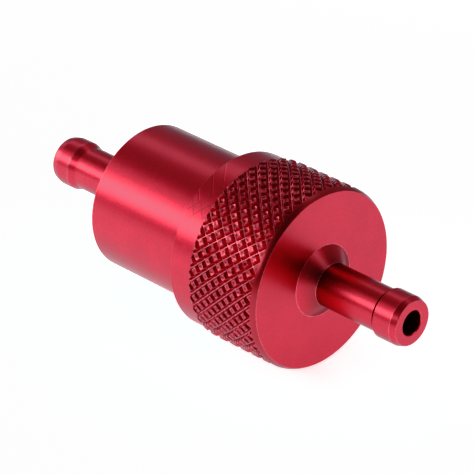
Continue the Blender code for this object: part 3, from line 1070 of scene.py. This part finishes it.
# %% Make the other finishes
def finish(name, code, dark, roughness, scale, ring_scale, bump, **sockets):
    """Cloudy tone, uneven gloss and fine relief. scale is patches per mm and bump is in mm."""
    material, shader = new_material(name, code, **sockets)
    tree = material.node_tree
    mm = in_millimetres(tree)
    patches = add(tree, "ShaderNodeTexNoise", {"Scale": scale, "Detail": 4.0}, Vector=mm).outputs[0]
    grain = add(tree, "ShaderNodeTexNoise", {"Scale": scale * 9, "Detail": 2.0}, Vector=mm).outputs[0]
    tone = add(tree, "ShaderNodeMapRange", {1: 0.35, 2: 0.68}, i0=patches).outputs[0]
    blend = {"data_type": "RGBA", 6: linear(dark), 7: linear(code)}
    colour = add(tree, "ShaderNodeMix", blend, i0=tone).outputs[2]
    tree.links.new(colour, shader.inputs["Base Color"])
    low, high = roughness
    gloss = add(tree, "ShaderNodeMapRange", {1: 0.3, 2: 0.7, 3: low, 4: high}, i0=grain).outputs[0]
    tree.links.new(gloss, shader.inputs["Roughness"])
    height = {"Strength": 0.4, "Distance": bump * MM}
    relief = add(tree, "ShaderNodeBump", height, Height=grain).outputs[0]
    if ring_scale:
        rings = tool_rings(tree, mm, {"Scale": ring_scale})
        relief = add(tree, "ShaderNodeBump", height, Height=rings, Normal=relief).outputs[0]
    tree.links.new(relief, shader.inputs["Normal"])
    return material


RUBBER = ("#26272A", "#151618", (0.5, 0.72), 0.8, 0, 0.02)
STEEL = ("#C6C3BC", "#9E9A92", (0.2, 0.36), 1.1, 5.0, 0.006)
BRASS = ("#DDB560", "#B98E3E", (0.22, 0.4), 0.4, 4.0, 0.01)
WEAVE = ("#BDB8AC", "#8F897C", (0.26, 0.42), 0.9, 0, 0.004)
nitrile = finish("nitrile_rubber_moulded", *RUBBER)
spring_steel = finish("drawn_spring_steel", *STEEL, Metallic=1.0)
brass = finish("turned_brass", *BRASS, Metallic=1.0)
screen_wire = finish("woven_stainless_wire", *WEAVE, Metallic=1.0)
seal_ring.data.materials.append(nitrile)
spring_coil.data.materials.append(spring_steel)
screen_weave.data.materials.append(screen_wire)
core_tube.data.materials.clear()
core_tube.data.materials.append(brass)
for piece, slot_name in fittings.values():
    piece.data.materials.append(brass if slot_name == "brass" else nitrile)
print("finishes:", len(bpy.data.materials))

# %% [markdown]
# ## The table
#
# A shiny cylinder is a mirror that sees the room, so its look is mostly a matter of what surrounds it.
# A sheet of matt white card lies under the filter and fills the lower half of every reflection.
# The card also glows a little near the filter, as a card lit from below or blown out would look: painted
# light that washes out the filter's shadow.

# %% Lay the table
TABLE_R = 3.0


def make_table():
    bm = bmesh.new()
    bmesh.ops.create_circle(bm, cap_ends=True, segments=96, radius=TABLE_R)
    mesh = bpy.data.meshes.new("table")
    bm.to_mesh(mesh)
    bm.free()
    table = bpy.data.objects.new("table", mesh)
    table.location.z = -CREST_R * MM
    bpy.context.scene.collection.objects.link(table)
    material, shader = new_material("matt_white_card", "#F2F2F2", Roughness=0.9)
    tree = material.node_tree
    place = add(tree, "ShaderNodeTexCoord").outputs["Object"]
    weave = {"Scale": 900.0, "Detail": 2.0}
    fibres = add(tree, "ShaderNodeTexNoise", weave, Vector=place).outputs[0]
    height = {"Strength": 0.05, "Distance": 0.1 * MM}
    relief = add(tree, "ShaderNodeBump", height, Height=fibres).outputs[0]
    tree.links.new(relief, shader.inputs["Normal"])
    shader.inputs["Emission Color"].default_value = (1, 1, 1, 1)
    # The painted glow is full out to 0.1 m from the filter and has faded to its lowest by 0.26 m.
    away = add(tree, "ShaderNodeVectorMath", {"operation": "LENGTH"}, i0=place).outputs["Value"]
    glow = add(tree, "ShaderNodeMapRange", {1: 0.1, 2: 0.26, 3: 0.68, 4: 0.3}, i0=away).outputs[0]
    tree.links.new(glow, shader.inputs["Emission Strength"])
    mesh.materials.append(material)
    return table


table = make_table()
print("table top at", round(table.location.z / MM, 2), "mm")

# %% [markdown]
# ## The lights
#
# One long soft box stands low on the near side and draws the broad pink highlight along the barrel.
# A dimmer box beside it softens that highlight's upper edge, as light spilling past a diffuser does.
# A weak one hangs high on the far side, and the plain grey room between them leaves the dark red bands.
# A small front box lights the outlet's end.
# The room itself is dimmest behind the camera and brighter beyond the filter.


# %% Hang the lights
def soft_box(name, along, turn, distance, size, brightness):
    """A lamp at this share along X and this many degrees round X, from straight up towards +Y."""
    turn = math.radians(turn)
    out = math.sqrt(1 - along**2)
    towards = Vector((along, out * math.sin(turn), out * math.cos(turn)))
    side = Vector((0, math.cos(turn), -math.sin(turn)))
    up = towards.cross(side)
    light = bpy.data.lights.new(name, "AREA")
    light.shape = "RECTANGLE"
    light.size, light.size_y = size
    # Cycles spreads the energy over the lamp's area, so this keeps the brightness for any size.
    light.energy = brightness * 4 * size[0] * size[1]
    box = bpy.data.objects.new(name, light)
    facing = Matrix((side, up, towards)).transposed().to_4x4()
    box.matrix_world = Matrix.Translation(towards * distance) @ facing
    box.visible_camera = False
    bpy.context.scene.collection.objects.link(box)
    print(name, "at", [round(v, 2) for v in towards * distance])


INLET_SIDE = -0.62
OUTLET_SIDE = 0.62
soft_box("key_soft_box", INLET_SIDE, -63, 0.5, (0.18, 0.95), 2.1)
soft_box("key_spill", INLET_SIDE, -38, 0.5, (0.15, 0.6), 0.5)
soft_box("far_soft_box", INLET_SIDE, 27, 0.6, (0.16, 1.1), 0.46)
soft_box("front_soft_box", OUTLET_SIDE, 20, 0.5, (0.14, 0.3), 1.3)

# %% Paint the room
DIMMEST = (0.62, -0.62, 0.48)  # from the filter towards the camera
world = bpy.data.worlds.new("grey_room")
world.use_nodes = True
sky = world.node_tree
direction = add(sky, "ShaderNodeTexCoord").outputs["Generated"]
project = {"operation": "DOT_PRODUCT", 1: DIMMEST}
facing = add(sky, "ShaderNodeVectorMath", project, i0=direction).outputs["Value"]
level = add(sky, "ShaderNodeMapRange", {1: -0.3, 2: 0.65, 3: 0.33, 4: 0.1}, i0=facing).outputs[0]
sky.links.new(level, sky.nodes["Background"].inputs["Strength"])
sky.nodes["Background"].inputs["Color"].default_value = (0.98, 0.98, 1, 1)
bpy.context.scene.world = world
print("room:", world.name)

# %% [markdown]
# ## The camera
#
# A long lens from half a metre keeps the two nipples almost the same size.
# It looks down at about 29 degrees, from 45 degrees round towards the outlet.
# It is placed by how far the middle of the cap's face lies to the side of its line of sight and below it.

# %% Place the camera
AZIMUTH = math.radians(44.94)
ELEVATION = math.radians(28.79)
FACE_TO_RIGHT = 13.0905
FACE_BELOW = 6.6106
FACE_AHEAD = 519.55
level_out = math.cos(ELEVATION)
right = Vector((math.cos(AZIMUTH), math.sin(AZIMUTH), 0))
back = Vector((math.sin(AZIMUTH) * level_out, -math.cos(AZIMUTH) * level_out, math.sin(ELEVATION)))
above = back.cross(right)
lens = bpy.data.cameras.new("long_lens")
lens.lens = 258.2
lens.sensor_width = 36
lens.clip_start = 0.01
camera = bpy.data.objects.new("camera", lens)
spot = Vector((CAP_FACE, 0, 0)) - FACE_TO_RIGHT * right + FACE_BELOW * above + FACE_AHEAD * back
aim = Matrix((right, above, back)).transposed().to_4x4()
camera.matrix_world = Matrix.Translation(spot * MM) @ aim
bpy.context.scene.collection.objects.link(camera)
bpy.context.scene.camera = camera
print("camera at", [round(v * MM, 3) for v in spot])

# %% [markdown]
# ## The contrast of a studio print
#
# A plain conversion to sRGB leaves the deep reds a little milky and the card a little grey.
# A camera's own tone curve presses the darkest tones down and lifts the lightest towards white.
# The same curve is set here on the scene's view, so every view of the filter shares it.

# %% Set the tone curve
DARKER = ((0.0224, 0.0058), (0.0354, 0.0140), (0.06, 0.0370), (0.095, 0.0780), (0.13, 0.1220))
LEFT_ALONE = ((0.2, 0.2), (0.5, 0.5))
LIGHTER = ((0.75, 0.78), (0.87, 0.985))
look = bpy.context.scene.view_settings
look.view_transform = "Standard"
look.use_curve_mapping = True
for level, shown in DARKER + LEFT_ALONE + LIGHTER:
    look.curve_mapping.curves[3].points.new(level, shown)
look.curve_mapping.update()
print("points on the tone curve:", len(look.curve_mapping.curves[3].points))

# %% [markdown]
# ## The size, once more
#
# The looks have to stay inside the imported model's box, or the filter would touch what it shouldn't.

# %% Finish
bpy.context.view_layer.update()
